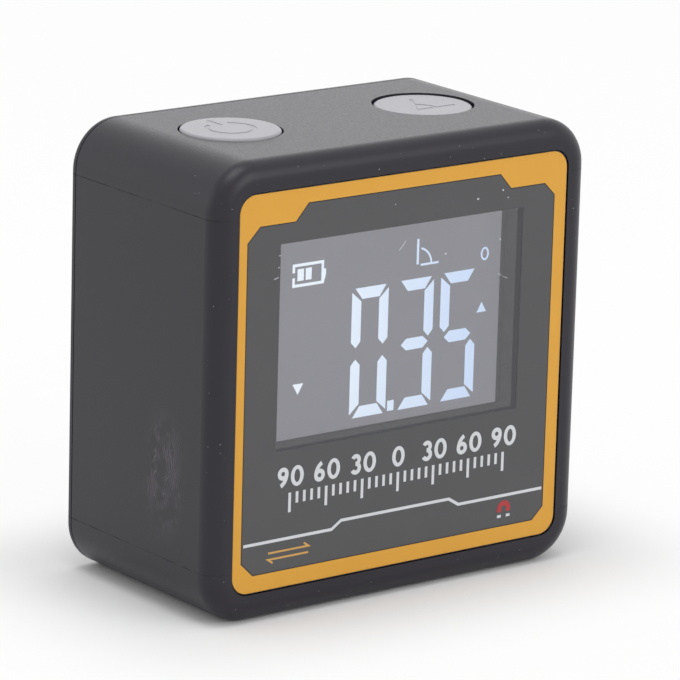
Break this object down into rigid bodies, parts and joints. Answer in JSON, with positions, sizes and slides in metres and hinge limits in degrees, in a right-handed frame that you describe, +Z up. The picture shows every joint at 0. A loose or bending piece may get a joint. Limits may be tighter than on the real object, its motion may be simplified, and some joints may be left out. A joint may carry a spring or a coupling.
{
  "type": "digital angle gauge",
  "caption": "Pocket digital angle gauge: rounded black box with a lit display behind a yellow and grey printed panel, round push buttons on top and a magnetic base.",
  "frame": {"origin": "centre of the base, on the plane that the gauge stands on", "axes": "+Z up from the magnetic base, -Y out of the front panel, +X to the viewer's right"},
  "size_m": [0.06, 0.032, 0.0602],
  "materials": {
    "black_abs": "fine matt moulded texture",
    "black_steel": "black oxide",
    "printed_panel": "satin sheet, printed",
    "tape": "double-sided tape",
    "inner_black": "matt moulded",
    "display_glass": "polarised display glass",
    "light_guide": "white light guide",
    "zebra_rubber": "silicone",
    "circuit_board": "green solder mask",
    "blue_board": "blue solder mask",
    "plated_steel": "nickel plate",
    "gilt_metal": "thin gold plate",
    "ferrite": "sintered",
    "can_aluminium": "drawn can",
    "pale_plastic": "moulded",
    "grey_button": "satin moulded",
    "cell_jacket": "printed film over steel",
    "magnet_nickel": "nickel plate"
  },
  "bodies": {
    "case": {"body_shell": "black_abs", "back_cover": "black_abs", "cover_screws": "black_steel", "front_panel": "printed_panel", "panel_adhesive": "tape", "display_frame": "inner_black", "lcd_glass": "display_glass", "backlight": "light_guide", "zebra_strip": "zebra_rubber", "main_board": "circuit_board", "board_screws": "plated_steel", "controller_chip": "inner_black", "tilt_sensor": "gilt_metal", "radio_module": "blue_board", "radio_shield": "plated_steel", "timing_crystal": "plated_steel", "power_inductor": "ferrite", "filter_capacitor": "can_aluminium", "buzzer": "inner_black", "button_board": "circuit_board", "board_link_header": "inner_black", "power_switch": "inner_black", "zero_switch": "inner_black", "upper_cell": "cell_jacket", "lower_cell": "cell_jacket", "positive_contact": "plated_steel", "negative_contact": "plated_steel", "link_contact": "plated_steel", "contact_springs": "plated_steel", "battery_link_pins": "gilt_metal", "base_magnets": "magnet_nickel"},
    "power_key": {"power_button": "grey_button", "power_plunger": "pale_plastic"},
    "zero_key": {"zero_button": "grey_button", "zero_plunger": "pale_plastic"},
    "door": {"battery_door": "black_abs"}
  },
  "joints": [
    {"name": "power_press", "type": "slide", "parent": "case", "child": "power_key", "axis": [0, 0, -1], "range_m": [0, 0.0006], "stiffness_N_per_m": 600},
    {"name": "zero_press", "type": "slide", "parent": "case", "child": "zero_key", "axis": [0, 0, -1], "range_m": [0, 0.0006], "stiffness_N_per_m": 600},
    {"name": "door_lift", "type": "slide", "parent": "case", "child": "door", "axis": [0, 1, 0], "range_m": [0, 0.024]}
  ]
}
